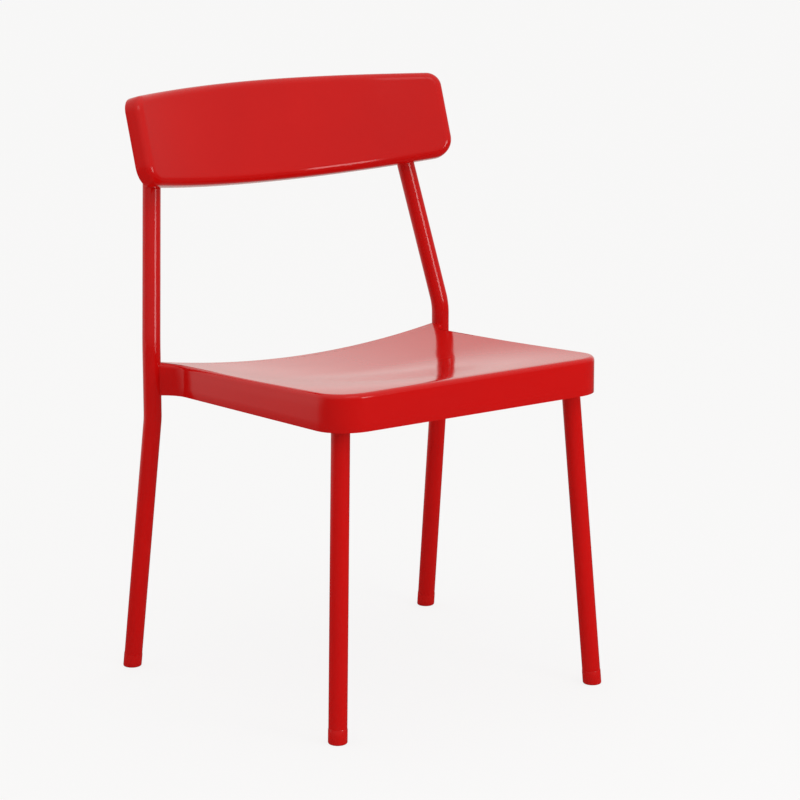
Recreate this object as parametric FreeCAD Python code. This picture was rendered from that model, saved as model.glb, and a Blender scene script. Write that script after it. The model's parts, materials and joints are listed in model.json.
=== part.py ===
import FreeCAD, Part
import math
import os
from FreeCAD import Vector

# A metal bistro chair: round tube legs and posts, a pressed seat pan and a pressed back.
# Millimetres, +Z up. The sitter faces -Y, and the sitter's left hand is at +X.

# Round tube of the legs and posts, and the gap left for every weld
tube_d = 25.0
tube_wall = 1.5
weld_gap = 0.3

# Seat pan: plan, height at the front edge, and fall towards the back per millimetre
seat_half = 223.5
seat_front_y = -238.3
seat_back_y = 183.0
seat_front_z = 465.3
seat_fall = 0.0525
seat_sheet = 1.5
seat_corner = 48.0
seat_roll = 6.0
skirt_front_z = 415.0
skirt_fall = 0.0387

# Hollow of the seat: its depth, and how far behind the front edge it is fully formed
dish_depth = 20.0
dish_run = 250.0

# Ears that flare from the skirt out to the rear posts
ear_reach = 23.8
ear_length = 40.0
ear_aim = 8.0
post_setback = 10.0

# Front legs: inset of the axis from the skirt's faces at its lower edge, and splay
leg_inset_x = 32.6
leg_inset_y = 41.1
leg_splay_x = 0.059
leg_splay_y = 0.061

# Rear posts: one tube from the floor to the back, with two bends
post_splay_x = 0.030
post_splay_y = 0.135
lower_bend_z = 366.8
upper_bend_z = 471.5
post_draw_in = 0.154
post_lean_back = 0.213
post_bend_radius = 100.0

# Foot glides: moulded plugs that end the tubes at the floor
glide_h = 20.0
glide_proud = 0.4
spigot_h = 22.0
spigot_fit = 0.2
spigot_flats = 8

# Rails under the seat, all of one rectangular tube
rail_h = 20.0
rail_w = 15.0
rail_wall = 1.5
rear_rail_setback = 4.0

# Plates and gussets that tie rails, legs and pan together
leg_plate_size = 44.0
leg_plate_t = 3.0
gusset_t = 3.0
gusset_leg = 45.0
gusset_drop = 14.0

# Backrest: a pressing that is hollow behind, curved round the sitter
back_radius = 512.0
back_arc = 529.0
back_h = 142.0
back_crown = 23.0
back_lean = 18.4
back_mid_z = 743.4
back_rim = 24.0
back_roll = 10.0
back_sheet = 1.5
back_corner_top = 22.0
back_corner_low = 32.0
post_standoff = 36.6
post_above_middle = 41.6

# Saddles that hold the posts behind the backrest
saddle_t = 2.5
saddle_below = 42.0
saddle_above = 30.0

# Caps that close the tops of the posts
cap_t = 3.0
cap_plug_h = 12.0

# The inside of a rolled edge is a chamfer of this share of the radius there
inner_chamfer = 0.8

# How far a cutting shape runs past what it cuts
overrun = 60.0

tube_r = tube_d / 2
bore_r = tube_r - tube_wall
spigot_r = bore_r - spigot_fit
envelope_r = tube_r + weld_gap
post_x = seat_half + ear_reach
post_y = seat_back_y - post_setback
ear_start_y = post_y - ear_aim - ear_length
ear_radius = (ear_reach ** 2 + ear_length ** 2) / (2 * ear_reach)
dish_half = post_x - tube_r
post_top_z = back_mid_z + post_above_middle
lean = math.radians(back_lean)
up = Vector(0, 0, 1)


def seat_top_z(x, y):
    # Height of the seat's upper face: a plane that falls to the back, with the hollow in it
    plane = seat_front_z - seat_fall * (y - seat_front_y)
    t = min(max((y - seat_front_y) / dish_run, 0.0), 1.0)
    depth = dish_depth * t * t * (3 - 2 * t)
    return plane - depth * (1 - (x / dish_half) ** 2)


def skirt_z(y):
    # Height of the skirt's lower edge
    return skirt_front_z - skirt_fall * (y - seat_front_y)


def leg_point(z):
    # Point of the left front leg's axis at a height
    below = skirt_front_z - z
    x = seat_half - leg_inset_x + leg_splay_x * below
    y = seat_front_y + leg_inset_y - leg_splay_y * below
    return Vector(x, y, z)


def post_point(z):
    # Point of the left post's axis at a height, with its bends left sharp
    below = max(lower_bend_z - z, 0.0)
    above = max(z - upper_bend_z, 0.0)
    x = post_x + post_splay_x * below - post_draw_in * above
    y = post_y + post_splay_y * below + post_lean_back * above
    return Vector(x, y, z)


def outline_face(corners):
    # A face inside straight edges and arcs; an entry of two points is an arc through the first
    edges = []
    start = corners[0]
    for entry in corners[1:]:
        if isinstance(entry, tuple):
            middle, end = entry
            edges.append(Part.Arc(start, middle, end).toShape())
        else:
            end = entry
            edges.append(Part.LineSegment(start, end).toShape())
        start = end
    if start.distanceToPoint(corners[0]) > weld_gap:
        edges.append(Part.LineSegment(start, corners[0]).toShape())
    return Part.Face(Part.Wire(edges))


def rod(radius, start, end):
    run = end - start
    return Part.makeCylinder(radius, run.Length, start, run)


def bent_rod(radius, points, bend):
    # A round bar along straight runs that are joined by tangent arcs of one radius
    edges = []
    start = points[0]
    for i in range(1, len(points) - 1):
        back = (points[i - 1] - points[i]).normalize()
        ahead = (points[i + 1] - points[i]).normalize()
        half = (math.pi - back.getAngle(ahead)) / 2
        tangent = bend * math.tan(half)
        inward = (back + ahead).normalize()
        arc_in = points[i] + back * tangent
        arc_out = points[i] + ahead * tangent
        arc_mid = points[i] + inward * (bend / math.cos(half) - bend)
        edges.append(Part.LineSegment(start, arc_in).toShape())
        edges.append(Part.Arc(arc_in, arc_mid, arc_out).toShape())
        start = arc_out
    edges.append(Part.LineSegment(start, points[-1]).toShape())
    section = Part.Wire(Part.Circle(points[0], points[1] - points[0], radius).toShape())
    return Part.Wire(edges).makePipeShell([section], True, False)


def mirrored(shape):
    return shape.mirror(Vector(0, 0, 0), Vector(1, 0, 0))


def pair(nodes, name, shape):
    # The left piece, and the right one as its mirror image
    nodes[name + "_left"] = shape
    nodes[name + "_right"] = mirrored(shape)


def seat_outline(inset, z):
    # The pan's plan at a height, drawn in by the inset but left open towards the posts
    diagonal = (seat_corner - inset) * math.sqrt(0.5)
    corner_x = seat_half - seat_corner
    corner_y = seat_front_y + seat_corner
    side_x = seat_half - inset
    ear_r = ear_radius + inset
    ear_centre = seat_half + ear_radius
    ear_turn = math.acos((ear_centre - post_x) / ear_r)
    ear_mid_x = ear_centre - ear_r * math.cos(ear_turn / 2)
    ear_mid_y = ear_start_y + ear_r * math.sin(ear_turn / 2)
    ear_end_y = ear_start_y + ear_r * math.sin(ear_turn)
    back = seat_back_y - inset
    front = seat_front_y + inset
    return outline_face([
        Vector(-corner_x, front, z),
        Vector(corner_x, front, z),
        (Vector(corner_x + diagonal, corner_y - diagonal, z), Vector(side_x, corner_y, z)),
        Vector(side_x, ear_start_y, z),
        (Vector(ear_mid_x, ear_mid_y, z), Vector(post_x, ear_end_y, z)),
        Vector(post_x, back, z),
        Vector(-post_x, back, z),
        Vector(-post_x, ear_end_y, z),
        (Vector(-ear_mid_x, ear_mid_y, z), Vector(-side_x, ear_start_y, z)),
        Vector(-side_x, corner_y, z),
        (Vector(-corner_x - diagonal, corner_y - diagonal, z), Vector(-corner_x, front, z)),
    ])


def above_seat(drop):
    # Everything above the dished upper face, lowered by the drop
    columns = 4
    rows = 15
    half = post_x + overrun
    depth = seat_back_y - seat_front_y + 2 * overrun
    grid = []
    for i in range(columns):
        x = half * (2 * i / (columns - 1) - 1)
        line = []
        for j in range(rows):
            y = seat_front_y - overrun + depth * j / (rows - 1)
            line.append(Vector(x, y, seat_top_z(x, y) - drop))
        grid.append(line)
    surface = Part.BSplineSurface()
    surface.interpolate(grid)
    return surface.toShape().extrude(up * (3 * overrun))


def below_skirt():
    # Everything below the skirt's sloping lower edge
    x = -post_x - overrun
    front = seat_front_y - overrun
    back = seat_back_y + overrun
    face = outline_face([
        Vector(x, front, 0),
        Vector(x, back, 0),
        Vector(x, back, skirt_z(back)),
        Vector(x, front, skirt_z(front)),
    ])
    return face.extrude(Vector(-2 * x, 0, 0))


def seat_block(inset):
    # The solid that the pan encloses, drawn in by the inset on its sides and its top
    low = skirt_z(seat_back_y) - overrun
    high = seat_front_z + overrun
    block = seat_outline(inset, low).extrude(up * (high - low))
    block = block.cut(above_seat(inset))
    top = max(block.Faces, key=lambda face: face.CenterOfMass.z)
    rolled = [edge for edge in top.Edges if abs(edge.CenterOfMass.x) < post_x - weld_gap]
    if inset > 0:
        return block.makeChamfer((seat_roll - inset) * inner_chamfer, rolled)
    return block.makeFillet(seat_roll, rolled)


def make_seat_pan(posts):
    pan = seat_block(0.0).cut(below_skirt())
    return pan.cut(seat_block(seat_sheet)).cut(posts)


def make_front_leg(plate_bottom):
    foot = leg_point(0)
    along = (leg_point(glide_h) - foot).normalize()
    start = foot + along * glide_h
    end = leg_point(plate_bottom + tube_d)
    tube = rod(tube_r, start, end).cut(rod(bore_r, start, end))
    size = 4 * tube_d
    corner = Vector(end.x - size / 2, end.y - size / 2, plate_bottom)
    return tube.cut(Part.makeBox(size, size, size, corner))


def post_points(first):
    return [first, post_point(lower_bend_z), post_point(upper_bend_z), post_point(post_top_z)]


def make_rear_post():
    foot = post_point(0)
    along = (post_point(glide_h) - foot).normalize()
    points = post_points(foot + along * glide_h)
    outer = bent_rod(tube_r, points, post_bend_radius)
    return outer.cut(bent_rod(bore_r, points, post_bend_radius))


def make_spigot(start, end):
    # The part of a glide or cap that grips the bore of its tube, with flats along it
    turns = [2 * math.pi * i / spigot_flats for i in range(spigot_flats + 1)]
    corners = [Vector(spigot_r * math.cos(turn), spigot_r * math.sin(turn), 0) for turn in turns]
    run = end - start
    spigot = Part.Face(Part.makePolygon(corners)).extrude(up * run.Length)
    spigot.Placement = FreeCAD.Placement(start, FreeCAD.Rotation(up, run))
    return spigot


def make_foot_glide(foot, above):
    # A collar cut flat at the floor, and the spigot that holds it in the tube
    along = (above - foot).normalize()
    seam = foot + along * glide_h
    collar = rod(tube_r + glide_proud, foot - along * glide_h, seam)
    floor = Part.makeBox(4 * tube_d, 4 * tube_d, 2 * tube_d)
    floor.translate(Vector(foot.x - 2 * tube_d, foot.y - 2 * tube_d, -2 * tube_d))
    return collar.cut(floor).fuse(make_spigot(foot + along * glide_h / 2, seam + along * spigot_h))


def make_post_cap():
    top = post_point(post_top_z)
    along = (top - post_point(upper_bend_z)).normalize()
    disc = rod(tube_r, top, top + along * cap_t)
    return disc.fuse(make_spigot(top - along * cap_plug_h, top + along * cap_t / 2))


def hollow_bar(width, height, wall, corner, run):
    # A rectangular tube: its section stands upright, and the run gives its length and slope
    outer = upright_section(width, height, corner, run)
    inner_corner = corner + section_across(run) * wall + up * wall
    inner = upright_section(width - 2 * wall, height - 2 * wall, inner_corner, run)
    return outer.cut(inner)


def section_across(run):
    return Vector(0, 1, 0) if abs(run.x) > abs(run.y) else Vector(1, 0, 0)


def upright_section(width, height, corner, run):
    across = section_across(run) * width
    face = outline_face([corner, corner + across, corner + across + up * height, corner + up * height])
    return face.extrude(run)


def make_front_rail(rail_top, legs):
    # Runs between the front legs and is coped to both
    y = leg_point(rail_top).y - rail_w / 2
    x = leg_point(rail_top - rail_h).x
    start = Vector(-x, y, rail_top - rail_h)
    bar = hollow_bar(rail_w, rail_h, rail_wall, start, Vector(2 * x, 0, 0)).cut(legs)
    return max(bar.Solids, key=lambda solid: solid.Volume)


def rear_rail_front_y():
    return post_y - rear_rail_setback - rail_w / 2


def rear_rail_top():
    # Just under the deepest part of the seat's hollow
    return seat_top_z(0, rear_rail_front_y() + rail_w) - seat_sheet - weld_gap


def make_rear_rail(room, posts):
    # Runs between the posts under the seat's hollow, coped to both and clear of the ears
    start = Vector(-post_x, rear_rail_front_y(), rear_rail_top() - rail_h)
    bar = hollow_bar(rail_w, rail_h, rail_wall, start, Vector(2 * post_x, 0, 0)).common(room).cut(posts)
    return max(bar.Solids, key=lambda solid: solid.Volume)


def side_rail_x(rail_top):
    return leg_point(rail_top - rail_h / 2).x


def make_side_rail(rail_top, legs):
    # Runs from the front leg, where it is coped, to the front face of the rear rail
    front = leg_point(rail_top)
    start = Vector(side_rail_x(rail_top) - rail_w / 2, front.y, rail_top - rail_h)
    run = Vector(0, rear_rail_front_y() - front.y, rear_rail_top() - rail_top)
    bar = hollow_bar(rail_w, rail_h, rail_wall, start, run).cut(legs)
    return max(bar.Solids, key=lambda solid: solid.Volume)


def leg_plate_bottom():
    # The plate lies just under the lowest point of the pan above it
    leg = leg_point(seat_front_z)
    half = leg_plate_size / 2
    corners = [(leg.x + i * half, leg.y + j * half) for i in (-1, 1) for j in (-1, 1)]
    lowest = min(seat_top_z(x, y) for x, y in corners)
    return lowest - seat_sheet - weld_gap - leg_plate_t


def make_leg_plate(plate_bottom, room):
    # Sits on the leg's end and the rail, and is shaped on top to the underside of the pan
    leg = leg_point(plate_bottom)
    half = leg_plate_size / 2
    block = Part.makeBox(leg_plate_size, leg_plate_size, overrun)
    block.translate(Vector(leg.x - half, leg.y - half, plate_bottom))
    return block.common(room)


def make_front_gusset(rail_top, legs):
    # A triangle in the corner of the front and side rails, coped round the leg
    x = side_rail_x(rail_top) - rail_w / 2
    y = leg_point(rail_top).y + rail_w / 2
    z = rail_top - gusset_drop
    face = outline_face([Vector(x, y, z), Vector(x, y + gusset_leg, z), Vector(x - gusset_leg, y, z)])
    return face.extrude(up * -gusset_t).cut(legs)


def make_rear_gusset(rail_top, room, posts):
    # Reaches from the side rail and the rear rail out to the post and the inside of the ear
    x = side_rail_x(rail_top) + rail_w / 2
    y = rear_rail_front_y()
    z = rear_rail_top() - rail_h / 2
    face = outline_face([
        Vector(x, y, z),
        Vector(post_x, y, z),
        Vector(post_x, y - gusset_leg, z),
        Vector(x, y - gusset_leg, z),
    ])
    plate = face.extrude(up * gusset_t).common(room).cut(posts)
    return max(plate.Solids, key=lambda solid: solid.Volume)


def back_block(inset, depth):
    # The solid that the backrest encloses, in its own frame: X across, Y backwards, Z up it
    turn = (back_arc / 2 - inset) / back_radius
    front_r = back_radius + inset
    rear_r = back_radius + depth
    side = Vector(math.sin(turn), math.cos(turn), 0)
    other = Vector(-side.x, side.y, 0)
    centre = Vector(0, -back_radius, -back_h)
    sector = outline_face([
        centre + other * front_r,
        (centre + Vector(0, front_r, 0), centre + side * front_r),
        centre + side * rear_r,
        (centre + Vector(0, rear_r, 0), centre + other * rear_r),
    ]).extrude(up * (2 * back_h))
    chord = back_radius * math.sin(back_arc / 2 / back_radius)
    crown_r = (chord ** 2 + back_crown ** 2) / (2 * back_crown)
    top = back_h / 2 - inset
    wide = chord + overrun
    shoulder = top - crown_r + math.sqrt(crown_r ** 2 - wide ** 2)
    low = -back_h / 2 + inset
    near = -back_radius / 2
    elevation = outline_face([
        Vector(-wide, near, low),
        Vector(wide, near, low),
        Vector(wide, near, shoulder),
        (Vector(0, near, top), Vector(-wide, near, shoulder)),
    ]).extrude(Vector(0, back_radius, 0))
    block = sector.common(elevation)
    for is_top, radius in ((True, back_corner_top), (False, back_corner_low)):
        corners = [edge for edge in block.Edges if is_back_corner(edge, chord, is_top)]
        block = block.makeFillet(radius - inset, corners)
    face = min(block.Faces, key=lambda face: abs(face_radius(face) - front_r))
    if inset > 0:
        return block.makeChamfer((back_roll - inset) * inner_chamfer, face.Edges)
    return block.makeFillet(back_roll, face.Edges)


def is_back_corner(edge, chord, is_top):
    # The four short edges that run from front to back at the corners
    box = edge.BoundBox
    at_side = abs(edge.CenterOfMass.x) > chord - back_corner_low
    level = box.ZLength < back_crown
    narrow = box.XLength < chord / 2
    return at_side and level and narrow and (edge.CenterOfMass.z > 0) == is_top


def face_radius(face):
    return getattr(face.Surface, "Radius", 0.0) if abs(face.CenterOfMass.z) < back_corner_top else 0.0


def back_seating():
    # Finds where the backrest's middle lies, so that the posts pass it at their standoff
    z = back_mid_z
    rounds = 12
    for turn in range(rounds):
        post = post_point(z)
        behind = math.sqrt((back_radius + post_standoff) ** 2 - post.x ** 2) - back_radius
        z = back_mid_z - behind * math.sin(lean)
    return Vector(0, post.y - behind * math.cos(lean), back_mid_z), post


def place_back(shape, origin):
    place = FreeCAD.Placement(origin, FreeCAD.Rotation(Vector(1, 0, 0), -back_lean))
    return shape.transformed(place.toMatrix(), True)


def make_saddle(origin, post, post_rod):
    # A folded clip: its web lies on the back's inner face, and its cheeks hold the post
    along = (post_point(post_top_z) - post_point(upper_bend_z)).normalize()
    turn = math.asin(post.x / (back_radius + post_standoff))
    outward = Vector(math.sin(turn), math.cos(turn) * math.cos(lean), -math.cos(turn) * math.sin(lean))
    backward = (outward - along * outward.dot(along)).normalize()
    across = backward.cross(along)
    frame = FreeCAD.Matrix(
        across.x, backward.x, along.x, post.x,
        across.y, backward.y, along.y, post.y,
        across.z, backward.z, along.z, post.z,
        0, 0, 0, 1)
    slot_half = envelope_r
    cheek_half = slot_half + saddle_t
    height = saddle_below + saddle_above
    clip = Part.makeBox(2 * cheek_half, overrun, height, Vector(-cheek_half, -overrun, -saddle_below))
    slot = Part.makeBox(2 * slot_half, overrun, height, Vector(-slot_half, -overrun, -saddle_below))
    clip = clip.transformed(frame, True)
    slot = slot.transformed(frame, True)
    reach = back_rim + 2 * overrun
    room = place_back(back_block(back_sheet + weld_gap, reach), origin)
    behind_web = place_back(back_block(back_sheet + weld_gap + saddle_t, reach), origin)
    return clip.common(room).cut(slot.common(behind_web)).cut(post_rod)


def make_backrest(origin):
    outer = back_block(0.0, back_rim)
    hollow = back_block(back_sheet, back_rim + overrun)
    return place_back(outer.cut(hollow), origin)


def make_chair():
    nodes = {}
    plate_bottom = leg_plate_bottom()
    leg_rod = rod(envelope_r, leg_point(0), leg_point(seat_front_z + overrun))
    post_rod = bent_rod(envelope_r, post_points(post_point(0)), post_bend_radius)
    legs = Part.makeCompound([leg_rod, mirrored(leg_rod)])
    posts = Part.makeCompound([post_rod, mirrored(post_rod)])
    room = seat_block(seat_sheet + weld_gap)
    nodes["seat_pan"] = make_seat_pan(posts)
    nodes["front_rail"] = make_front_rail(plate_bottom, legs)
    nodes["rear_rail"] = make_rear_rail(room, posts)
    pair(nodes, "side_rail", make_side_rail(plate_bottom, legs))
    pair(nodes, "front_leg", make_front_leg(plate_bottom))
    pair(nodes, "leg_plate", make_leg_plate(plate_bottom, room))
    pair(nodes, "front_gusset", make_front_gusset(plate_bottom, legs))
    pair(nodes, "rear_post", make_rear_post())
    pair(nodes, "rear_gusset", make_rear_gusset(plate_bottom, room, posts))
    origin, post = back_seating()
    nodes["backrest"] = make_backrest(origin)
    pair(nodes, "back_saddle", make_saddle(origin, post, post_rod))
    pair(nodes, "post_cap", make_post_cap())
    pair(nodes, "front_glide", make_foot_glide(leg_point(0), leg_point(glide_h)))
    pair(nodes, "rear_glide", make_foot_glide(post_point(0), post_point(glide_h)))
    return nodes


def stand_on_origin(nodes):
    # The origin is on the floor, in the middle of the chair's footprint box
    box = Part.makeCompound(list(nodes.values())).optimalBoundingBox()
    middle = box.Center
    for shape in nodes.values():
        shape.translate(Vector(-middle.x, -middle.y, -box.ZMin))
    return box


chair = make_chair()
whole = stand_on_origin(chair)
os.makedirs("parts", exist_ok=True)
for name, shape in chair.items():
    shape.exportStep("parts/" + name + ".step")
    print(name, "solids", len(shape.Solids), "valid", shape.isValid(), "cm3", round(shape.Volume / 1000, 2))
print("size", round(whole.XLength, 1), round(whole.YLength, 1), round(whole.ZLength, 1))
print("moved by", round(-whole.Center.y, 2))
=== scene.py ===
import json
import math

import bmesh
import bpy
from mathutils import Matrix, Vector

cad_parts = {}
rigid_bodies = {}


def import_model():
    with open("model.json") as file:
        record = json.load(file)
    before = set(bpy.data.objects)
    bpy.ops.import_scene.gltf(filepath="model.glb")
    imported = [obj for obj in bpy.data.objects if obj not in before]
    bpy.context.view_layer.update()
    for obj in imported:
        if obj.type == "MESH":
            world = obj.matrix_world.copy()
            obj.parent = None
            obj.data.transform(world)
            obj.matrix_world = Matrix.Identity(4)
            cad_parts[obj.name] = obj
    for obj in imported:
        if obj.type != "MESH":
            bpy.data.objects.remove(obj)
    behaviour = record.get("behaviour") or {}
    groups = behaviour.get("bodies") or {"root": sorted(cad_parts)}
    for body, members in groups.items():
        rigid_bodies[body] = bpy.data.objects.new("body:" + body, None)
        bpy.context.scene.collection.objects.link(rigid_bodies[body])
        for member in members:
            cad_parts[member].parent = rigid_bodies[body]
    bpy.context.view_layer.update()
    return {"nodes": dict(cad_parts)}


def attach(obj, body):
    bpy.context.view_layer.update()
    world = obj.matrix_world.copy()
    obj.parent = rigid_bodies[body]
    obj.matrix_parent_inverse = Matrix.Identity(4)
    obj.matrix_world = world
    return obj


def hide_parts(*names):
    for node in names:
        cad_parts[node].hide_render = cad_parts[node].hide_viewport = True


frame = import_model()
print("frame loaded:", len(frame["nodes"]), "nodes")

mm = 0.001
frameY = -20.55 * mm        # how far the chair was moved to stand on its origin
bodyName = "root"
mergeReach = 0.00001        # points nearer than this are one

cameraSetup = {
    "place": (-2.3246, -3.2679, 1.2788),
    "lookAt": (0.04775, -0.02055, 0.38425),
    "lens": 133.74,
    "sensor": 36.0,
    "farthest": 100.0,
}


def makeCamera(setup):
    bpy.ops.object.select_all(action="DESELECT")
    bpy.ops.object.camera_add(location=setup["place"])
    camera = bpy.context.object
    camera.name = "photoCamera"
    sight = Vector(setup["lookAt"]) - Vector(setup["place"])
    camera.rotation_euler = sight.to_track_quat("-Z", "Y").to_euler()
    camera.data.lens = setup["lens"]
    camera.data.sensor_width = setup["sensor"]
    camera.data.dof.use_dof = False
    camera.data.clip_end = setup["farthest"]
    bpy.context.scene.camera = camera


makeCamera(cameraSetup)


def deselectAll():
    if bpy.context.object and bpy.context.object.mode != "OBJECT":
        bpy.ops.object.mode_set(mode="OBJECT")
    bpy.ops.object.select_all(action="DESELECT")


def openMesh():
    bpy.ops.object.mode_set(mode="EDIT")
    return bmesh.from_edit_mesh(bpy.context.object.data)


def closeMesh():
    bpy.ops.object.mode_set(mode="OBJECT")


def finishPiece(name, nodes=(), smoothAngle=35.0):
    # place goes into the mesh, and the piece is named, smoothed and tied to the body
    piece = bpy.context.object
    bpy.ops.object.transform_apply(location=True, rotation=True, scale=True)
    piece.name = name
    piece.data.name = name
    bpy.ops.object.shade_smooth_by_angle(angle=math.radians(smoothAngle))
    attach(piece, bodyName)
    if nodes:
        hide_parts(*nodes)
    return piece


def drawnIn(station, inset):
    # a point of an outline, drawn inwards
    point, inward = station
    return point + inward * inset


def flipped(station):
    # the same point on the left hand side
    point, inward = station
    return Vector((-point.x, point.y)), Vector((-inward.x, inward.y))


def applyModifier(kind, **values):
    modifier = bpy.context.object.modifiers.new(kind.lower(), kind)
    for key, value in values.items():
        setattr(modifier, key, value)
    bpy.ops.object.modifier_apply(modifier=modifier.name)


def recalcNormals():
    openMesh()
    bpy.ops.mesh.select_all(action="SELECT")
    bpy.ops.mesh.remove_doubles(threshold=mergeReach)
    bpy.ops.mesh.normals_make_consistent(inside=False)
    closeMesh()


def mirrorCopy(piece, name, nodes):
    # the right hand piece: a copy of the left one with its own mesh, turned over in X
    deselectAll()
    piece.select_set(True)
    bpy.context.view_layer.objects.active = piece
    bpy.ops.object.duplicate(linked=False)
    openMesh()
    bpy.ops.mesh.select_all(action="SELECT")
    bpy.ops.transform.mirror(constraint_axis=(True, False, False), center_override=(0, 0, 0))
    bpy.ops.mesh.normals_make_consistent(inside=False)
    closeMesh()
    return finishPiece(name, nodes)


def stationsToPatch(front, right, back, left):
    # fills four edges of stations with a smooth net: rows from front to back
    columns = len(front) - 1
    rows = len(right) - 1
    net = []
    for j in range(rows + 1):
        v = j / rows
        for i in range(columns + 1):
            u = i / columns
            sides = front[i] * (1 - v) + back[i] * v + left[j] * (1 - u) + right[j] * u
            corners = (
                front[0] * ((1 - u) * (1 - v)) + front[-1] * (u * (1 - v))
                + back[0] * ((1 - u) * v) + back[-1] * (u * v)
            )
            net.append(sides - corners)
    return net


def spread(start, end, count):
    # even values from start up to, but not including, end
    return [start + (end - start) * i / count for i in range(count)]


seatValues = {
    "half": 223.5 * mm,
    "front": -238.3 * mm,
    "back": 183.0 * mm,
    "frontZ": 465.3 * mm,
    "fall": 0.0525,
    "skirtFrontZ": 415.0 * mm,
    "skirtFall": 0.0387,
    "corner": 48.0 * mm,
    "roll": 6.0 * mm,
    "sheet": 1.5 * mm,
    "dishDepth": 20.0 * mm,
    "dishRun": 240.0 * mm,
    "flatFront": 13.0 * mm,     # a flat strip behind the front edge, before the dish begins
    "crease": 0.35,
    "earReach": 23.8 * mm,
    "earLength": 40.0 * mm,
    "earAim": 8.0 * mm,
    "postSetback": 10.0 * mm,
    "tubeRadius": 12.5 * mm,
    "edgeBevel": 0.35 * mm,
    "bevelAngle": 60.0,
    "rollSteps": 6,
    "skirtSteps": 3,
    "frontPoints": 14,
    "cornerPoints": 16,
    "sidePoints": 22,
    "earPoints": 12,
    "endPoints": 3,
}


def seatTop(values, x, y):
    plane = values["frontZ"] - values["fall"] * (y - values["front"])
    t = min(max((y - values["front"] - values["flatFront"]) / values["dishRun"], 0.0), 1.0)
    crease = values["crease"]
    depth = values["dishDepth"] * ((1 - crease) * t * t * (3 - 2 * t) + crease * t * (2 - t))
    halfDish = values["half"] + values["earReach"] - values["tubeRadius"]
    return plane - depth * (1 - (x / halfDish) ** 2)


def seatSkirt(values, y):
    return values["skirtFrontZ"] - values["skirtFall"] * (y - values["front"])


def seatStations(values):
    # right hand half of the plan: points on the outline with the way inwards at each
    half = values["half"]
    corner = values["corner"]
    postX = half + values["earReach"]
    earStart = values["back"] - values["postSetback"] - values["earAim"] - values["earLength"]
    earRadius = (values["earReach"] ** 2 + values["earLength"] ** 2) / (2 * values["earReach"])
    earTurn = math.acos((half + earRadius - postX) / earRadius)
    cornerX = half - corner
    cornerY = values["front"] + corner
    frontRun = []
    for x in spread(0, cornerX, values["frontPoints"]):
        frontRun.append((Vector((x, values["front"])), Vector((0, 1))))
    arc = []
    for turn in spread(0, math.pi / 2, values["cornerPoints"]):
        outward = Vector((math.sin(turn), -math.cos(turn)))
        arc.append((Vector((cornerX, cornerY)) + outward * corner, -outward))
    side = []
    for y in spread(cornerY, earStart, values["sidePoints"]):
        side.append((Vector((half, y)), Vector((-1, 0))))
    ear = []
    for turn in spread(0, earTurn, values["earPoints"]):
        inward = Vector((-math.cos(turn), math.sin(turn)))
        ear.append((Vector((half + earRadius, earStart)) + inward * earRadius, inward))
    earEnd = earStart + earRadius * math.sin(earTurn)
    end = []
    for y in spread(earEnd, values["back"], values["endPoints"]):
        end.append((Vector((postX, y)), Vector((-1, 0))))
    atCorner = (Vector((postX, values["back"])), Vector((-1, -1)))
    middle = len(arc) // 2      # half of each front corner belongs to the front, half to the side
    return frontRun + arc[:middle], arc[middle:] + side + ear + end, atCorner


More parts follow.
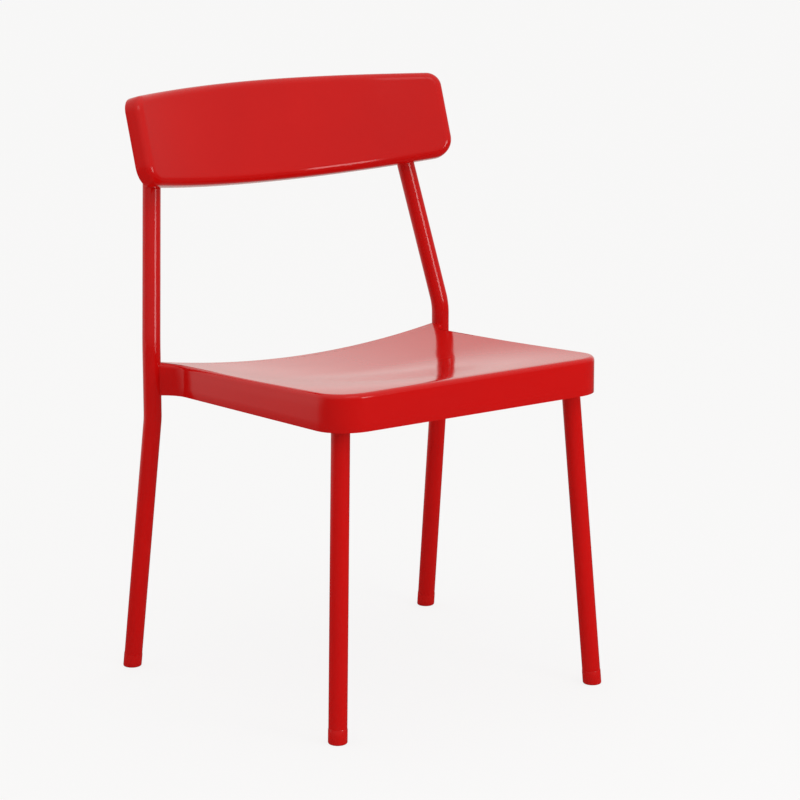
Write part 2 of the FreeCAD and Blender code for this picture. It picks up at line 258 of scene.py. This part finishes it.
def makeSeat(values):
    frontHalf, sideRun, rearCorner = seatStations(values)
    sideRun = sideRun + [rearCorner]
    front = [flipped(s) for s in frontHalf[:0:-1]] + frontHalf
    front = [flipped(sideRun[0])] + front + [sideRun[0]]
    columns = len(front) - 1
    widest = front[-1][0].x
    back = []
    for point, _ in front:
        x = point.x / widest * rearCorner[0].x
        back.append((Vector((x, values["back"])), Vector((0, -1))))
    back[0] = flipped(rearCorner)
    back[-1] = rearCorner
    right = sideRun
    left = [flipped(s) for s in sideRun]
    rows = len(right) - 1
    roll = values["roll"]
    edges = [[drawnIn(s, roll) for s in edge] for edge in (front, right, back, left)]
    net = stationsToPatch(*edges)

    deselectAll()
    bpy.ops.mesh.primitive_grid_add(
        x_subdivisions=columns, y_subdivisions=rows, size=2 * values["half"])
    bm = openMesh()
    layer = bm.verts.layers.int.new("station")
    bm.verts.ensure_lookup_table()
    stations = []
    for index, vert in enumerate(bm.verts):
        point = net[index]
        vert.co = (point.x, point.y + frameY, seatTop(values, point.x, point.y))
        i = index % (columns + 1)
        j = index // (columns + 1)
        station = None
        if j == 0:
            station = front[i]
        elif j == rows:
            station = back[i]
        elif i == 0:
            station = left[j]
        elif i == columns:
            station = right[j]
        vert[layer] = -1
        if station:
            vert[layer] = len(stations)
            stations.append(station)

    # roll the edge over in steps, then draw the skirt down
    rollSteps = values["rollSteps"]
    skirtSteps = values["skirtSteps"]
    bpy.ops.mesh.select_all(action="DESELECT")
    bpy.ops.mesh.select_mode(type="EDGE")
    for edge in bm.edges:
        edge.select = edge.is_boundary
    bmesh.update_edit_mesh(bpy.context.object.data)
    for step in range(1, rollSteps + skirtSteps + 1):
        bpy.ops.mesh.extrude_edges_move()
        bm = bmesh.from_edit_mesh(bpy.context.object.data)
        layer = bm.verts.layers.int["station"]
        for vert in bm.verts:
            if not vert.select:
                continue
            station = stations[vert[layer]]
            inner = drawnIn(station, roll)
            top = seatTop(values, inner.x, inner.y)
            if step <= rollSteps:
                turn = math.pi / 2 * step / rollSteps
                point = drawnIn(station, roll * (1 - math.sin(turn)))
                z = top - roll * (1 - math.cos(turn))
            else:
                point = drawnIn(station, 0.0)
                low = seatSkirt(values, point.y)
                z = top - roll + (low - top + roll) * (step - rollSteps) / skirtSteps
            vert.co = (point.x, point.y + frameY, z)
        bmesh.update_edit_mesh(bpy.context.object.data)
    bm.verts.layers.int.remove(layer)
    bmesh.update_edit_mesh(bpy.context.object.data)
    closeMesh()
    recalcNormals()
    bm = openMesh()
    if max(bm.faces, key=lambda f: f.calc_area()).normal.z < 0:
        bpy.ops.mesh.flip_normals()
    closeMesh()
    applyModifier("SOLIDIFY", thickness=values["sheet"], offset=-1.0, use_even_offset=False)
    applyModifier("BEVEL", width=values["edgeBevel"], segments=2, limit_method="ANGLE",
                  angle_limit=math.radians(values["bevelAngle"]))
    return finishPiece("seatShell", ("seat_pan",))


seatShell = makeSeat(seatValues)
print("seat made:", len(seatShell.data.polygons), "faces")

backValues = {
    "radius": 512.0 * mm,
    "arc": 531.0 * mm,
    "height": 144.0 * mm,
    "crown": 23.0 * mm,
    "lean": 18.4,
    "origin": (0.0, 233.9 * mm + frameY, 742.4 * mm),
    "rim": 24.0 * mm,
    "roll": 10.0 * mm,
    "sheet": 1.5 * mm,
    "cornerTop": 22.0 * mm,
    "cornerLow": 27.0 * mm,
    "edgeBevel": 0.35 * mm,
    "bevelAngle": 60.0,
    "rollSteps": 8,
    "rimSteps": 2,
    "runPoints": 20,
    "cornerPoints": 12,
    "sidePoints": 10,
    "cornerShare": (6, 7),      # where the points of the lower and upper corner are parted
}


def backPoint(values, along, height, depth):
    # a place on the backrest: along its curve, up it, and behind its front face
    turn = along / values["radius"]
    reach = values["radius"] + depth
    flat = Vector((reach * math.sin(turn), reach * math.cos(turn) - values["radius"], height))
    return Vector(values["origin"]) + Matrix.Rotation(-math.radians(values["lean"]), 3, "X") @ flat


def backCrown(values, along):
    x = values["radius"] * math.sin(along / values["radius"])
    widest = values["radius"] * math.sin(values["arc"] / 2 / values["radius"])
    crownRadius = (widest ** 2 + values["crown"] ** 2) / (2 * values["crown"])
    return values["height"] / 2 - crownRadius + math.sqrt(crownRadius ** 2 - x ** 2)


def backStations(values):
    # right hand half of the outline, flat: the bottom run, the end, and the crowned top
    half = values["arc"] / 2
    low = -values["height"] / 2
    lowR = values["cornerLow"]
    topR = values["cornerTop"]
    bottom = []
    for along in spread(0, half - lowR, values["runPoints"]):
        bottom.append((Vector((along, low)), Vector((0, 1))))
    lowArc = []
    for turn in spread(0, math.pi / 2, values["cornerPoints"]):
        outward = Vector((math.sin(turn), -math.cos(turn)))
        lowArc.append((Vector((half - lowR, low + lowR)) + outward * lowR, -outward))

    def slopeAt(along):
        rise = backCrown(values, along - mm) - backCrown(values, along + mm)
        return math.atan(rise / (2 * mm))

    tilt = slopeAt(half - topR)
    touch = half - topR + topR * math.sin(tilt)
    tilt = slopeAt(touch)
    centre = Vector((half - topR, backCrown(values, touch) - topR * math.cos(tilt)))
    side = []
    for height in spread(low + lowR, centre.y, values["sidePoints"]):
        side.append((Vector((half, height)), Vector((-1, 0))))
    topArc = []
    for turn in spread(0, math.pi / 2 - tilt, values["cornerPoints"]):
        outward = Vector((math.cos(turn), math.sin(turn)))
        topArc.append((centre + outward * topR, -outward))
    top = []
    for along in spread(0, touch, values["runPoints"]) + [touch]:
        tilt = slopeAt(along)
        point = Vector((along, backCrown(values, along)))
        top.append((point, Vector((-math.sin(tilt), -math.cos(tilt)))))
    lowCut, topCut = values["cornerShare"]
    return bottom + lowArc[:lowCut], lowArc[lowCut:] + side + topArc[:topCut], topArc[topCut:], top


def makeBack(values):
    bottomHalf, sideRun, topCorner, topHalf = backStations(values)
    bottomHalf = bottomHalf + [sideRun[0]]
    topHalf = topHalf + topCorner[::-1] + [sideRun[-1]]
    bottom = [flipped(s) for s in bottomHalf[:0:-1]] + bottomHalf
    top = [flipped(s) for s in topHalf[:0:-1]] + topHalf
    right = sideRun
    left = [flipped(s) for s in sideRun]
    columns = len(bottom) - 1
    rows = len(right) - 1
    roll = values["roll"]
    edges = [[drawnIn(s, roll) for s in edge] for edge in (bottom, right, top, left)]
    net = stationsToPatch(*edges)

    deselectAll()
    bpy.ops.mesh.primitive_grid_add(
        x_subdivisions=columns, y_subdivisions=rows, size=values["height"])
    bm = openMesh()
    layer = bm.verts.layers.int.new("station")
    bm.verts.ensure_lookup_table()
    stations = []
    for index, vert in enumerate(bm.verts):
        vert.co = backPoint(values, net[index].x, net[index].y, 0.0)
        i = index % (columns + 1)
        j = index // (columns + 1)
        station = None
        if j == 0:
            station = bottom[i]
        elif j == rows:
            station = top[i]
        elif i == 0:
            station = left[j]
        elif i == columns:
            station = right[j]
        vert[layer] = -1
        if station:
            vert[layer] = len(stations)
            stations.append(station)

    # roll the rim over, then run its flange back
    rollSteps = values["rollSteps"]
    rimSteps = values["rimSteps"]
    bpy.ops.mesh.select_all(action="DESELECT")
    bpy.ops.mesh.select_mode(type="EDGE")
    for edge in bm.edges:
        edge.select = edge.is_boundary
    bmesh.update_edit_mesh(bpy.context.object.data)
    for step in range(1, rollSteps + rimSteps + 1):
        bpy.ops.mesh.extrude_edges_move()
        bm = bmesh.from_edit_mesh(bpy.context.object.data)
        layer = bm.verts.layers.int["station"]
        for vert in bm.verts:
            if not vert.select:
                continue
            station = stations[vert[layer]]
            if step <= rollSteps:
                turn = math.pi / 2 * step / rollSteps
                point = drawnIn(station, roll * (1 - math.sin(turn)))
                depth = roll * (1 - math.cos(turn))
            else:
                point = drawnIn(station, 0.0)
                depth = roll + (values["rim"] - roll) * (step - rollSteps) / rimSteps
            vert.co = backPoint(values, point.x, point.y, depth)
        bmesh.update_edit_mesh(bpy.context.object.data)
    bm.verts.layers.int.remove(layer)
    bmesh.update_edit_mesh(bpy.context.object.data)
    closeMesh()
    recalcNormals()
    bm = openMesh()
    if max(bm.faces, key=lambda f: f.calc_area()).normal.y > 0:
        bpy.ops.mesh.flip_normals()
    closeMesh()
    applyModifier("SOLIDIFY", thickness=values["sheet"], offset=-1.0, use_even_offset=True)
    applyModifier("BEVEL", width=values["edgeBevel"], segments=2, limit_method="ANGLE",
                  angle_limit=math.radians(values["bevelAngle"]))
    return finishPiece("backShell", ("backrest",))


backShell = makeBack(backValues)
print("backrest made:", len(backShell.data.polygons), "faces")

tubeValues = {
    "radius": 12.5 * mm,
    "sides": 64,
    "bendSteps": 14,
    "bendRadius": 100.0 * mm,
    "glideHeight": 20.0 * mm,
    "legInsetX": 32.6 * mm,
    "legInsetY": 41.1 * mm,
    "legSplay": (0.059, 0.061),
    "legTopZ": 455.3 * mm,
    "postX": 247.3 * mm,
    "postY": 173.0 * mm,
    "postSplay": (0.030, 0.135),
    "lowerBendZ": 366.8 * mm,
    "upperBendZ": 471.5 * mm,
    "postDrawIn": 0.154,
    "postLeanBack": 0.213,
    "postTopZ": 785.0 * mm,
}


def legPoint(z):
    below = seatValues["skirtFrontZ"] - z
    x = seatValues["half"] - tubeValues["legInsetX"] + tubeValues["legSplay"][0] * below
    y = seatValues["front"] + tubeValues["legInsetY"] - tubeValues["legSplay"][1] * below
    return Vector((x, y + frameY, z))


def postPoint(z):
    below = max(tubeValues["lowerBendZ"] - z, 0.0)
    above = max(z - tubeValues["upperBendZ"], 0.0)
    splayX, splayY = tubeValues["postSplay"]
    x = tubeValues["postX"] + splayX * below - tubeValues["postDrawIn"] * above
    y = tubeValues["postY"] + splayY * below + tubeValues["postLeanBack"] * above
    return Vector((x, y + frameY, z))


def startRing(centre, along, radius):
    # an open ring of edges across the way the tube runs, all selected and in edit mode
    deselectAll()
    bpy.ops.mesh.primitive_circle_add(
        vertices=tubeValues["sides"], radius=radius, location=centre,
        rotation=along.to_track_quat("Z", "Y").to_euler())
    bpy.ops.object.transform_apply(location=True, rotation=True, scale=True)
    openMesh()
    bpy.ops.mesh.select_all(action="SELECT")


def runTube(points, bend):
    # straight runs by extrude and bends by spin
    at = points[0]
    for i in range(1, len(points) - 1):
        back = (points[i - 1] - points[i]).normalized()
        ahead = (points[i + 1] - points[i]).normalized()
        half = (math.pi - back.angle(ahead)) / 2
        reach = bend * math.tan(half)
        entry = points[i] + back * reach
        centre = points[i] + (back + ahead).normalized() * (bend / math.cos(half))
        bpy.ops.mesh.extrude_region_move(TRANSFORM_OT_translate={"value": entry - at})
        axis = (-back).cross(ahead).normalized()
        bpy.ops.mesh.spin(
            steps=tubeValues["bendSteps"], angle=-2 * half, center=centre, axis=axis)
        at = points[i] + ahead * reach
    bpy.ops.mesh.extrude_region_move(TRANSFORM_OT_translate={"value": points[-1] - at})


def closeTube():
    bpy.ops.mesh.select_all(action="SELECT")
    bpy.ops.mesh.remove_doubles(threshold=mergeReach)
    bpy.ops.mesh.fill_holes(sides=0)
    bpy.ops.mesh.select_all(action="SELECT")
    bpy.ops.mesh.normals_make_consistent(inside=False)


def makePost():
    foot = postPoint(0.0)
    along = (postPoint(mm) - foot).normalized()
    first = foot + along * tubeValues["glideHeight"]
    points = [first, postPoint(tubeValues["lowerBendZ"]), postPoint(tubeValues["upperBendZ"]),
              postPoint(tubeValues["postTopZ"])]
    startRing(first, along, tubeValues["radius"])
    runTube(points, tubeValues["bendRadius"])
    closeTube()
    closeMesh()
    return finishPiece("leftPost", ("rear_post_left",))


def makeLeg():
    foot = legPoint(0.0)
    along = (legPoint(mm) - foot).normalized()
    start = along * tubeValues["glideHeight"]
    startRing(foot + start, along, tubeValues["radius"])
    end = legPoint(tubeValues["legTopZ"] + 2 * tubeValues["radius"])
    bpy.ops.mesh.extrude_region_move(TRANSFORM_OT_translate={"value": end - foot - start})
    bpy.ops.mesh.select_all(action="SELECT")
    bpy.ops.mesh.bisect(
        plane_co=(0, 0, tubeValues["legTopZ"]), plane_no=(0, 0, 1),
        clear_outer=True, use_fill=True)
    closeTube()
    closeMesh()
    return finishPiece("leftLeg", ("front_leg_left",))


leftPost = makePost()
rightPost = mirrorCopy(leftPost, "rightPost", ("rear_post_right",))
leftLeg = makeLeg()
rightLeg = mirrorCopy(leftLeg, "rightLeg", ("front_leg_right",))
print("tubes made")

glideValues = {
    "proud": 0.4 * mm,
    "edge": 2.5 * mm,
    "topEdge": 0.6 * mm,
    "edgeSegments": 5,
    "topSegments": 2,
    "capHeight": 3.0 * mm,
    "capEdge": 1.4 * mm,
    "capSegments": 4,
    "ringAngle": 1.0,           # radians; only the rims of an end turn more sharply
}


def makeGlide(name, pointAt, nodes):
    # a collar round the tube's line, cut level at the floor, with a rounded sole
    foot = pointAt(0.0)
    along = (pointAt(mm) - foot).normalized()
    seam = foot + along * tubeValues["glideHeight"]
    radius = tubeValues["radius"] + glideValues["proud"]
    startRing(seam, along, radius)
    belowFloor = along * (-3 * tubeValues["glideHeight"])
    bpy.ops.mesh.extrude_region_move(TRANSFORM_OT_translate={"value": belowFloor})
    bpy.ops.mesh.select_all(action="SELECT")
    bpy.ops.mesh.bisect(
        plane_co=(0, 0, 0), plane_no=(0, 0, -1), clear_outer=True, use_fill=True)
    closeTube()
    rims = ((True, glideValues["edge"], glideValues["edgeSegments"]),
            (False, glideValues["topEdge"], glideValues["topSegments"]))
    for low, width, segments in rims:
        bm = bmesh.from_edit_mesh(bpy.context.object.data)
        bpy.ops.mesh.select_all(action="DESELECT")
        bpy.ops.mesh.select_mode(type="EDGE")
        for edge in bm.edges:
            middle = (edge.verts[0].co + edge.verts[1].co) / 2
            ring = len(edge.link_faces) == 2 and edge.calc_face_angle(0) > glideValues["ringAngle"]
            edge.select = ring and (middle.z < mm) == low
        bmesh.update_edit_mesh(bpy.context.object.data)
        bpy.ops.mesh.bevel(offset=width, segments=segments, profile=0.5)
    closeMesh()
    return finishPiece(name, nodes)


def makeCap():
    top = postPoint(tubeValues["postTopZ"])
    along = (top - postPoint(tubeValues["upperBendZ"])).normalized()
    startRing(top, along, tubeValues["radius"])
    rise = along * glideValues["capHeight"]
    bpy.ops.mesh.extrude_region_move(TRANSFORM_OT_translate={"value": rise})
    closeTube()
    bm = bmesh.from_edit_mesh(bpy.context.object.data)
    bpy.ops.mesh.select_all(action="DESELECT")
    bpy.ops.mesh.select_mode(type="EDGE")
    for edge in bm.edges:
        middle = (edge.verts[0].co + edge.verts[1].co) / 2
        sharp = edge.calc_face_angle(0) > glideValues["ringAngle"]
        edge.select = sharp and (middle - top).dot(along) > mm
    bmesh.update_edit_mesh(bpy.context.object.data)
    bpy.ops.mesh.bevel(
        offset=glideValues["capEdge"], segments=glideValues["capSegments"], profile=0.5)
    closeMesh()
    return finishPiece("leftCap", ("post_cap_left",))


frontGlide = makeGlide("leftFrontGlide", legPoint, ("front_glide_left",))
mirrorCopy(frontGlide, "rightFrontGlide", ("front_glide_right",))
rearGlide = makeGlide("leftRearGlide", postPoint, ("rear_glide_left",))
mirrorCopy(rearGlide, "rightRearGlide", ("rear_glide_right",))
leftCap = makeCap()
mirrorCopy(leftCap, "rightCap", ("post_cap_right",))
print("glides and caps made")

softEdges = {       # how wide each one's corners are rounded, in mm
    "front_rail": 1.2, "rear_rail": 1.2, "side_rail_left": 1.2, "side_rail_right": 1.2,
    "leg_plate_left": 0.5, "leg_plate_right": 0.5,
    "front_gusset_left": 0.5, "front_gusset_right": 0.5,
    "rear_gusset_left": 0.5, "rear_gusset_right": 0.5,
    "back_saddle_left": 0.4, "back_saddle_right": 0.4,
}
barValues = {
    "longEdge": 14.0 * mm,      # shorter edges belong to the copes, and stay as cut
    "sharpAngle": 0.7,          # radians
    "flatAngle": 0.5,           # degrees within which faces are merged
    "segments": 3,
}


def softenedCopy(nodeName, width):
    # a merged copy of a CAD node, with its corners rounded over
    deselectAll()
    source = bpy.data.objects[nodeName]
    copy = source.copy()
    copy.data = source.data.copy()
    copy.parent = None
    bpy.context.scene.collection.objects.link(copy)
    copy.hide_render = False
    copy.select_set(True)
    bpy.context.view_layer.objects.active = copy
    copy.data.materials.clear()
    openMesh()
    bpy.ops.mesh.select_all(action="SELECT")
    bpy.ops.mesh.remove_doubles(threshold=mergeReach)
    bpy.ops.mesh.dissolve_limited(angle_limit=math.radians(barValues["flatAngle"]))
    bpy.ops.mesh.normals_make_consistent(inside=False)
    bpy.ops.mesh.select_all(action="DESELECT")
    bpy.ops.mesh.select_mode(type="EDGE")
    bm = bmesh.from_edit_mesh(copy.data)
    for edge in bm.edges:
        sharp = len(edge.link_faces) == 2 and edge.calc_face_angle(0) > barValues["sharpAngle"]
        edge.select = sharp and edge.calc_length() > barValues["longEdge"]
    bmesh.update_edit_mesh(copy.data)
    bpy.ops.mesh.bevel(
        offset=width * mm, segments=barValues["segments"], profile=0.5, clamp_overlap=True)
    closeMesh()
    return finishPiece(nodeName + "_soft", (nodeName,))


for nodeName, width in softEdges.items():
    softenedCopy(nodeName, width)
print("bars and plates made")

coatValues = {
    "colour": (0.55, 0.005, 0.004),
    "deepColour": (0.49, 0.003, 0.003),
    "roughness": (0.10, 0.14),
    "ior": 1.33,
    "peelScale": 420.0,         # bumps per metre in the cured coat
    "peelHeight": 0.000012,
    "waveScale": 26.0,          # slow waves left by pressing
    "waveHeight": 0.00004,
}
glideLook = {
    "colour": (0.55, 0.005, 0.004),
    "deepColour": (0.49, 0.003, 0.003),
    "roughness": (0.15, 0.20),
    "ior": 1.33,
    "peelScale": 900.0,
    "peelHeight": 0.00001,
    "waveScale": 60.0,
    "waveHeight": 0.00001,
}


def makeFilmGroup():
    # the film of coat on metal or plastic: its tint, its gloss, and the skin of tiny waves
    group = bpy.data.node_groups.new("coatFilm", "ShaderNodeTree")
    face = group.interface
    for name, kind in (("Colour", "NodeSocketColor"), ("Deep Colour", "NodeSocketColor"),
                       ("Gloss Low", "NodeSocketFloat"), ("Gloss High", "NodeSocketFloat"),
                       ("Peel Scale", "NodeSocketFloat"), ("Peel Height", "NodeSocketFloat"),
                       ("Wave Scale", "NodeSocketFloat"), ("Wave Height", "NodeSocketFloat")):
        face.new_socket(name, in_out="INPUT", socket_type=kind)
    face.new_socket("Colour", in_out="OUTPUT", socket_type="NodeSocketColor")
    face.new_socket("Roughness", in_out="OUTPUT", socket_type="NodeSocketFloat")
    face.new_socket("Normal", in_out="OUTPUT", socket_type="NodeSocketVector")
    nodes = group.nodes
    links = group.links
    given = nodes.new("NodeGroupInput")
    result = nodes.new("NodeGroupOutput")
    place = nodes.new("ShaderNodeTexCoord")

    def noise(scaleFrom, scaleTimes, detail):
        texture = nodes.new("ShaderNodeTexNoise")
        texture.inputs["Detail"].default_value = detail
        links.new(place.outputs["Object"], texture.inputs["Vector"])
        times = nodes.new("ShaderNodeMath")
        times.operation = "MULTIPLY"
        times.inputs[1].default_value = scaleTimes
        links.new(given.outputs[scaleFrom], times.inputs[0])
        links.new(times.outputs[0], texture.inputs["Scale"])
        return texture.outputs["Fac"]

    peel = noise("Peel Scale", 1.0, 1.0)
    wave = noise("Wave Scale", 1.0, 1.0)
    blotch = noise("Wave Scale", 0.35, 3.0)

    tint = nodes.new("ShaderNodeMix")
    tint.data_type = "RGBA"
    links.new(blotch, tint.inputs["Factor"])
    links.new(given.outputs["Colour"], tint.inputs["A"])
    links.new(given.outputs["Deep Colour"], tint.inputs["B"])
    links.new(tint.outputs["Result"], result.inputs["Colour"])

    gloss = nodes.new("ShaderNodeMapRange")
    links.new(blotch, gloss.inputs["Value"])
    gloss.inputs["From Min"].default_value = 0.3
    gloss.inputs["From Max"].default_value = 0.7
    links.new(given.outputs["Gloss Low"], gloss.inputs["To Min"])
    links.new(given.outputs["Gloss High"], gloss.inputs["To Max"])
    links.new(gloss.outputs["Result"], result.inputs["Roughness"])

    waveBump = nodes.new("ShaderNodeBump")
    links.new(wave, waveBump.inputs["Height"])
    links.new(given.outputs["Wave Height"], waveBump.inputs["Distance"])
    peelBump = nodes.new("ShaderNodeBump")
    links.new(peel, peelBump.inputs["Height"])
    links.new(given.outputs["Peel Height"], peelBump.inputs["Distance"])
    links.new(waveBump.outputs["Normal"], peelBump.inputs["Normal"])
    links.new(peelBump.outputs["Normal"], result.inputs["Normal"])
    return group


filmGroup = makeFilmGroup()


def makeCoat(name, values):
    material = bpy.data.materials.new(name)
    material.use_nodes = True
    nodes = material.node_tree.nodes
    links = material.node_tree.links
    shader = nodes["Principled BSDF"]
    shader.inputs["IOR"].default_value = values["ior"]
    film = nodes.new("ShaderNodeGroup")
    film.node_tree = filmGroup
    film.inputs["Colour"].default_value = (*values["colour"], 1.0)
    film.inputs["Deep Colour"].default_value = (*values["deepColour"], 1.0)
    film.inputs["Gloss Low"].default_value = values["roughness"][0]
    film.inputs["Gloss High"].default_value = values["roughness"][1]
    film.inputs["Peel Scale"].default_value = values["peelScale"]
    film.inputs["Peel Height"].default_value = values["peelHeight"]
    film.inputs["Wave Scale"].default_value = values["waveScale"]
    film.inputs["Wave Height"].default_value = values["waveHeight"]
    links.new(film.outputs["Colour"], shader.inputs["Base Color"])
    links.new(film.outputs["Roughness"], shader.inputs["Roughness"])
    links.new(film.outputs["Normal"], shader.inputs["Normal"])
    return material


redCoat = makeCoat("redCoat", coatValues)
glidePlastic = makeCoat("glidePlastic", glideLook)
for piece in bpy.data.objects:
    if piece.type == "MESH":
        plastic = "glide" in piece.name.lower() or "cap" in piece.name.lower()
        piece.data.materials.clear()
        piece.data.materials.append(glidePlastic if plastic else redCoat)
print("coats made")

stageValues = {
    "floorSize": 80.0,
    "pale": 0.94,
    "seenFloor": 0.955,
    "floorColour": 0.80,
    "cameraShare": 0.88,
    "backward": (0.05, 1.0, 0.0),       # the way the pale sweep lies, behind the chair
    "floorFront": 0.12,                 # the floor's brightness in reflections, in front
    "floorBack": 0.80,                  # and behind
    "floorRun": (0.3, 2.0),
    "skyLow": 0.30,                     # the room's light at the horizon and overhead
    "skyTop": 1.28,
    "sweepRun": (0.25, 0.62),
    "warm": (1.0, 0.955, 0.915, 1.0),   # the room's tint in reflections and on the object
}
lampValues = {
    "strip": {"place": (0.80, -2.66, 1.0), "size": (1.0, 0.9), "radiance": 7.4},
    "front": {"place": (-0.7, -2.0, 2.8), "size": (1.8, 1.2), "radiance": 1.5},
}
lampAim = (0.0, 0.0, 0.5)


def mapRange(nodes, links, value, fromRange, toRange, smooth=False):
    node = nodes.new("ShaderNodeMapRange")
    node.interpolation_type = "SMOOTHSTEP" if smooth else "LINEAR"
    links.new(value, node.inputs["Value"])
    for name, number in zip(("From Min", "From Max", "To Min", "To Max"), (*fromRange, *toRange)):
        node.inputs[name].default_value = number
    return node.outputs["Result"]


def towards(nodes, links, vector, direction):
    node = nodes.new("ShaderNodeVectorMath")
    node.operation = "DOT_PRODUCT"
    links.new(vector, node.inputs[0])
    node.inputs[1].default_value = direction
    return node.outputs["Value"]


def makeFloor(values):
    deselectAll()
    bpy.ops.mesh.primitive_plane_add(size=values["floorSize"])
    floor = bpy.context.object
    floor.name = "paleFloor"
    material = bpy.data.materials.new("paleFloor")
    material.use_nodes = True
    nodes = material.node_tree.nodes
    links = material.node_tree.links
    shader = nodes["Principled BSDF"]
    shader.inputs["Base Color"].default_value = (*[values["floorColour"]] * 3, 1.0)
    shader.inputs["Roughness"].default_value = 0.9
    shader.inputs["Specular IOR Level"].default_value = 0.0
    place = nodes.new("ShaderNodeTexCoord")
    run = towards(nodes, links, place.outputs["Object"], values["backward"])
    mirrored = mapRange(
        nodes, links, run, values["floorRun"], (values["floorFront"], values["floorBack"]), True)
    path = nodes.new("ShaderNodeLightPath")
    level = nodes.new("ShaderNodeMix")
    links.new(path.outputs["Is Camera Ray"], level.inputs["Factor"])
    links.new(mirrored, level.inputs["A"])
    level.inputs["B"].default_value = values["seenFloor"]
    glow = nodes.new("ShaderNodeEmission")
    links.new(level.outputs["Result"], glow.inputs["Strength"])
    glowTint = nodes.new("ShaderNodeMix")
    glowTint.data_type = "RGBA"
    links.new(path.outputs["Is Camera Ray"], glowTint.inputs["Factor"])
    glowTint.inputs["A"].default_value = values["warm"]
    glowTint.inputs["B"].default_value = (1, 1, 1, 1)
    links.new(glowTint.outputs["Result"], glow.inputs["Color"])
    share = mapRange(
        nodes, links, path.outputs["Is Camera Ray"], (0, 1), (0, values["cameraShare"]))
    either = nodes.new("ShaderNodeMath")
    either.operation = "MAXIMUM"
    links.new(share, either.inputs[0])
    links.new(path.outputs["Is Glossy Ray"], either.inputs[1])
    mix = nodes.new("ShaderNodeMixShader")
    links.new(either.outputs[0], mix.inputs["Fac"])
    links.new(shader.outputs["BSDF"], mix.inputs[1])
    links.new(glow.outputs["Emission"], mix.inputs[2])
    links.new(mix.outputs["Shader"], nodes["Material Output"].inputs["Surface"])
    floor.data.materials.append(material)


def makeWorld(values):
    world = bpy.data.worlds.new("studio")
    bpy.context.scene.world = world
    world.use_nodes = True
    nodes = world.node_tree.nodes
    links = world.node_tree.links
    place = nodes.new("ShaderNodeTexCoord")
    split = nodes.new("ShaderNodeSeparateXYZ")
    links.new(place.outputs["Generated"], split.inputs["Vector"])
    sky = mapRange(nodes, links, split.outputs["Z"], (0, 1), (values["skyLow"], values["skyTop"]))
    run = towards(nodes, links, place.outputs["Generated"], values["backward"])
    sweep = mapRange(nodes, links, run, values["sweepRun"], (0, 1), True)
    level = nodes.new("ShaderNodeMix")
    links.new(sweep, level.inputs["Factor"])
    links.new(sky, level.inputs["A"])
    level.inputs["B"].default_value = values["pale"]
    path = nodes.new("ShaderNodeLightPath")
    seen = nodes.new("ShaderNodeMix")
    links.new(path.outputs["Is Camera Ray"], seen.inputs["Factor"])
    links.new(level.outputs["Result"], seen.inputs["A"])
    seen.inputs["B"].default_value = values["pale"]
    background = nodes["Background"]
    skyTint = nodes.new("ShaderNodeMix")
    skyTint.data_type = "RGBA"
    links.new(path.outputs["Is Camera Ray"], skyTint.inputs["Factor"])
    skyTint.inputs["A"].default_value = values["warm"]
    skyTint.inputs["B"].default_value = (1, 1, 1, 1)
    links.new(skyTint.outputs["Result"], background.inputs["Color"])
    links.new(seen.outputs["Result"], background.inputs["Strength"])


def makeLamp(name, values):
    place = Vector(values["place"])
    bpy.ops.object.select_all(action="DESELECT")
    bpy.ops.object.light_add(type="AREA", location=place)
    lamp = bpy.context.object
    lamp.name = name
    lamp.rotation_euler = (place - Vector(lampAim)).to_track_quat("Z", "Y").to_euler()
    lamp.data.shape = "RECTANGLE"
    lamp.data.size, lamp.data.size_y = values["size"]
    lamp.data.energy = math.pi * values["radiance"] * values["size"][0] * values["size"][1]
    lamp.visible_camera = False


makeFloor(stageValues)
makeWorld(stageValues)
for lampName, lampLook in lampValues.items():
    makeLamp(lampName + "Lamp", lampLook)
bpy.context.scene.view_settings.view_transform = "Standard"
print("stage made")
